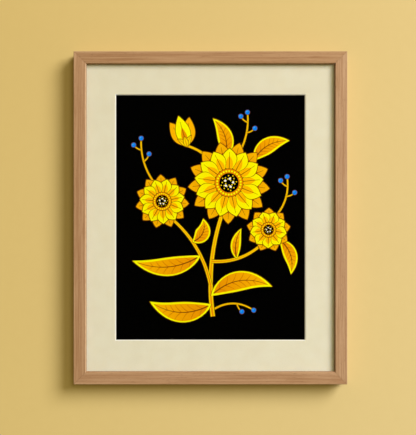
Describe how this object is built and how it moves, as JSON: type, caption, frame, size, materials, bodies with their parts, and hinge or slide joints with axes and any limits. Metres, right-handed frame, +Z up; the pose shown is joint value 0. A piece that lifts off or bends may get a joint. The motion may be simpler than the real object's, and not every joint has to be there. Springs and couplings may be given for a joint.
{
  "type": "framed art print",
  "caption": "Flat wall picture: slim mitred hardwood frame, clear glazing, cream mat with a bevelled window, botanical print, backing boards and a sawtooth hanger.",
  "frame": {"origin": "top of the sawtooth hanger's middle notch, on the plane of the wall that the picture hangs on", "axes": "+Z up along the picture's height, +Y into the wall so that the picture faces -Y, +X to the viewer's right"},
  "size_m": [0.44, 0.033, 0.5355],
  "materials": {
    "wood": "satin oiled hardwood with a fine straight grain",
    "glass": "clear, anti-reflective",
    "mat": "matt cream, slightly textured",
    "print": "matt paper printed in black, yellow, amber and blue",
    "mount_board": "matt off-white",
    "backing": "smooth brown fibreboard",
    "steel": "bright zinc-plated",
    "screw_steel": "zinc-plated",
    "rubber": "matt"
  },
  "bodies": {
    "root": {"rail_top": "wood", "rail_right": "wood", "rail_bottom": "wood", "rail_left": "wood", "glazing": "glass", "mat_board": "mat", "art_print": "print", "mount_board": "mount_board", "backing_board": "backing", "tab_top_1": "steel", "tab_top_2": "steel", "tab_right_1": "steel", "tab_right_2": "steel", "tab_right_3": "steel", "tab_bottom_1": "steel", "tab_bottom_2": "steel", "tab_left_1": "steel", "tab_left_2": "steel", "tab_left_3": "steel", "vnail_top_right": "steel", "vnail_top_left": "steel", "vnail_bottom_right": "steel", "vnail_bottom_left": "steel", "sawtooth_hanger": "steel", "hanger_screw_left": "screw_steel", "hanger_screw_right": "screw_steel", "bumper_left": "rubber", "bumper_right": "rubber"}
  },
  "joints": []
}
